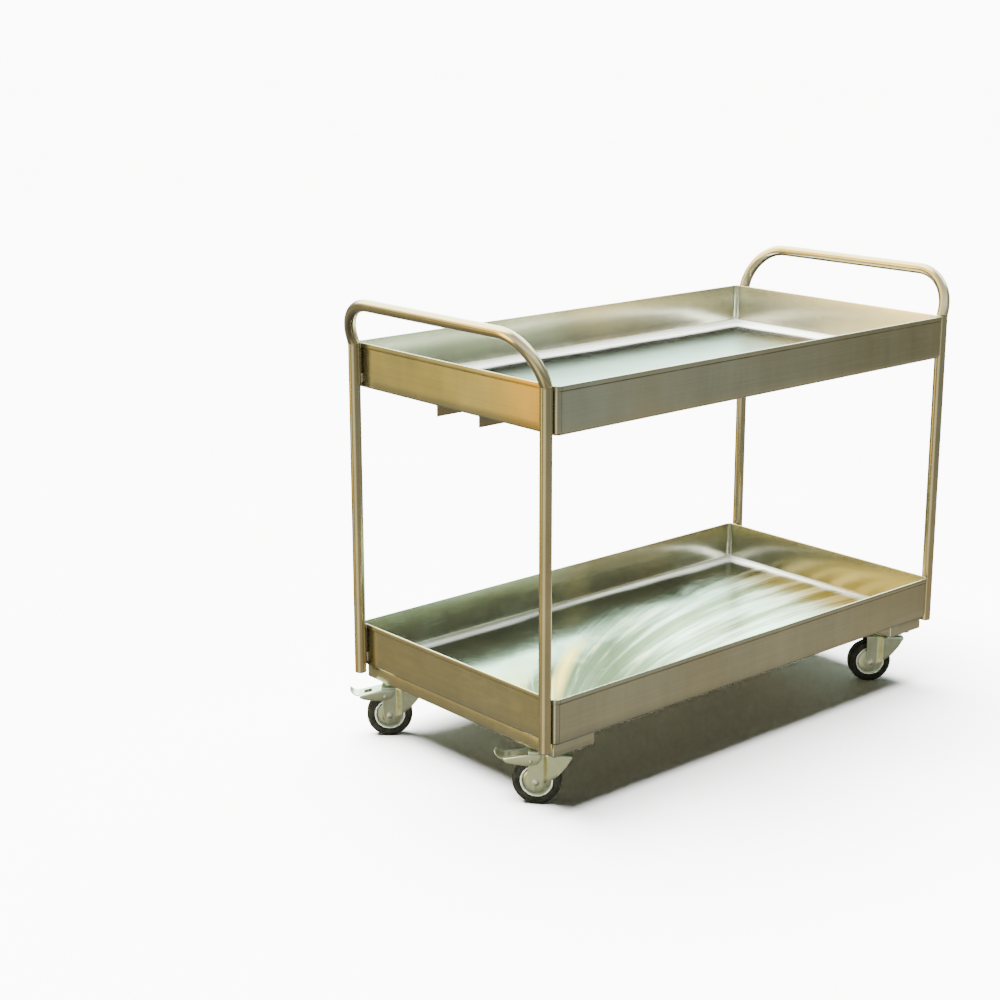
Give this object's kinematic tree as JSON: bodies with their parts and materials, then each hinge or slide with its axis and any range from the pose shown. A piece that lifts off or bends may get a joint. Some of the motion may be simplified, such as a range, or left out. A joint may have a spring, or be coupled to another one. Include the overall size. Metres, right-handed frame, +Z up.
{
  "type": "food service trolley",
  "caption": "Two-tier stainless service trolley with deep trays, tube legs, a bent handle at each end and braked swivel casters.",
  "frame": {"origin": "on the floor under the middle of the trays", "axes": "+X along the length of the trolley towards its unbraked end, +Y towards the rear long side, +Z up"},
  "size_m": [1.3208, 0.6457, 0.9883],
  "materials": {
    "sheet": "fine brushed stainless sheet, satin",
    "tube": "satin stainless tube, brushed along its length",
    "zinc": "dull zinc plate on pressed steel",
    "fastener": "plated steel",
    "tyre": "matt rubber",
    "rubber": "matt rubber",
    "cap": "matt moulded plastic"
  },
  "bodies": {
    "frame": {"upper_tray": "sheet", "lower_tray": "sheet", "upper_stiffener": "sheet", "lower_stiffener": "sheet", "handle_left": "tube", "handle_right": "tube", "caster_pan_left": "sheet", "caster_pan_right": "sheet", "leg_front_left": "tube", "leg_cap_front_left": "cap", "caster_plate_front_left": "zinc", "swivel_race_front_left": "zinc", "kingpin_front_left": "fastener", "leg_rear_left": "tube", "leg_cap_rear_left": "cap", "caster_plate_rear_left": "zinc", "swivel_race_rear_left": "zinc", "kingpin_rear_left": "fastener", "leg_front_right": "tube", "leg_cap_front_right": "cap", "caster_plate_front_right": "zinc", "swivel_race_front_right": "zinc", "kingpin_front_right": "fastener", "leg_rear_right": "tube", "leg_cap_rear_right": "cap", "caster_plate_rear_right": "zinc", "swivel_race_rear_right": "zinc", "kingpin_rear_right": "fastener"},
    "fork_body_front_left": {"fork_front_left": "zinc", "axle_bolt_front_left": "fastener", "axle_nut_front_left": "fastener", "axle_sleeve_front_left": "fastener", "pedal_rivet_outer_front_left": "fastener", "pedal_rivet_inner_front_left": "fastener"},
    "wheel_body_front_left": {"wheel_centre_front_left": "zinc", "tyre_front_left": "tyre"},
    "brake_body_front_left": {"brake_pedal_front_left": "zinc", "brake_shoe_front_left": "rubber"},
    "fork_body_rear_left": {"fork_rear_left": "zinc", "axle_bolt_rear_left": "fastener", "axle_nut_rear_left": "fastener", "axle_sleeve_rear_left": "fastener", "pedal_rivet_outer_rear_left": "fastener", "pedal_rivet_inner_rear_left": "fastener"},
    "wheel_body_rear_left": {"wheel_centre_rear_left": "zinc", "tyre_rear_left": "tyre"},
    "brake_body_rear_left": {"brake_pedal_rear_left": "zinc", "brake_shoe_rear_left": "rubber"},
    "fork_body_front_right": {"fork_front_right": "zinc", "axle_bolt_front_right": "fastener", "axle_nut_front_right": "fastener", "axle_sleeve_front_right": "fastener"},
    "wheel_body_front_right": {"wheel_centre_front_right": "zinc", "tyre_front_right": "tyre"},
    "fork_body_rear_right": {"fork_rear_right": "zinc", "axle_bolt_rear_right": "fastener", "axle_nut_rear_right": "fastener", "axle_sleeve_rear_right": "fastener"},
    "wheel_body_rear_right": {"wheel_centre_rear_right": "zinc", "tyre_rear_right": "tyre"}
  },
  "joints": [
    {"name": "swivel_front_left", "type": "hinge", "parent": "frame", "child": "fork_body_front_left", "pos_m": [-0.534, -0.244, 0.117], "axis": [0, 0, 1], "continuous": true},
    {"name": "wheel_spin_front_left", "type": "hinge", "parent": "fork_body_front_left", "child": "wheel_body_front_left", "pos_m": [-0.55696, -0.21759, 0.05], "axis": [0.7547, 0.6561, 0], "continuous": true},
    {"name": "pedal_pivot_front_left", "type": "hinge", "parent": "fork_body_front_left", "child": "brake_body_front_left", "pos_m": [-0.56352, -0.21004, 0.095], "axis": [-0.7547, -0.6561, 0], "range_deg": [0, 6]},
    {"name": "swivel_rear_left", "type": "hinge", "parent": "frame", "child": "fork_body_rear_left", "pos_m": [-0.534, 0.244, 0.117], "axis": [0, 0, 1], "continuous": true},
    {"name": "wheel_spin_rear_left", "type": "hinge", "parent": "fork_body_rear_left", "child": "wheel_body_rear_left", "pos_m": [-0.56195, 0.26506, 0.05], "axis": [0.6018, 0.7986, 0], "continuous": true},
    {"name": "pedal_pivot_rear_left", "type": "hinge", "parent": "fork_body_rear_left", "child": "brake_body_rear_left", "pos_m": [-0.56994, 0.27108, 0.095], "axis": [-0.6018, -0.7986, 0], "range_deg": [0, 6]},
    {"name": "swivel_front_right", "type": "hinge", "parent": "frame", "child": "fork_body_front_right", "pos_m": [0.534, -0.244, 0.117], "axis": [0, 0, 1], "continuous": true},
    {"name": "wheel_spin_front_right", "type": "hinge", "parent": "fork_body_front_right", "child": "wheel_body_front_right", "pos_m": [0.50605, -0.22294, 0.05], "axis": [0.6018, 0.7986, 0], "continuous": true},
    {"name": "swivel_rear_right", "type": "hinge", "parent": "frame", "child": "fork_body_rear_right", "pos_m": [0.534, 0.244, 0.117], "axis": [0, 0, 1], "continuous": true},
    {"name": "wheel_spin_rear_right", "type": "hinge", "parent": "fork_body_rear_right", "child": "wheel_body_rear_right", "pos_m": [0.5084, 0.26787, 0.05], "axis": [0.682, 0.7314, 0], "continuous": true}
  ]
}
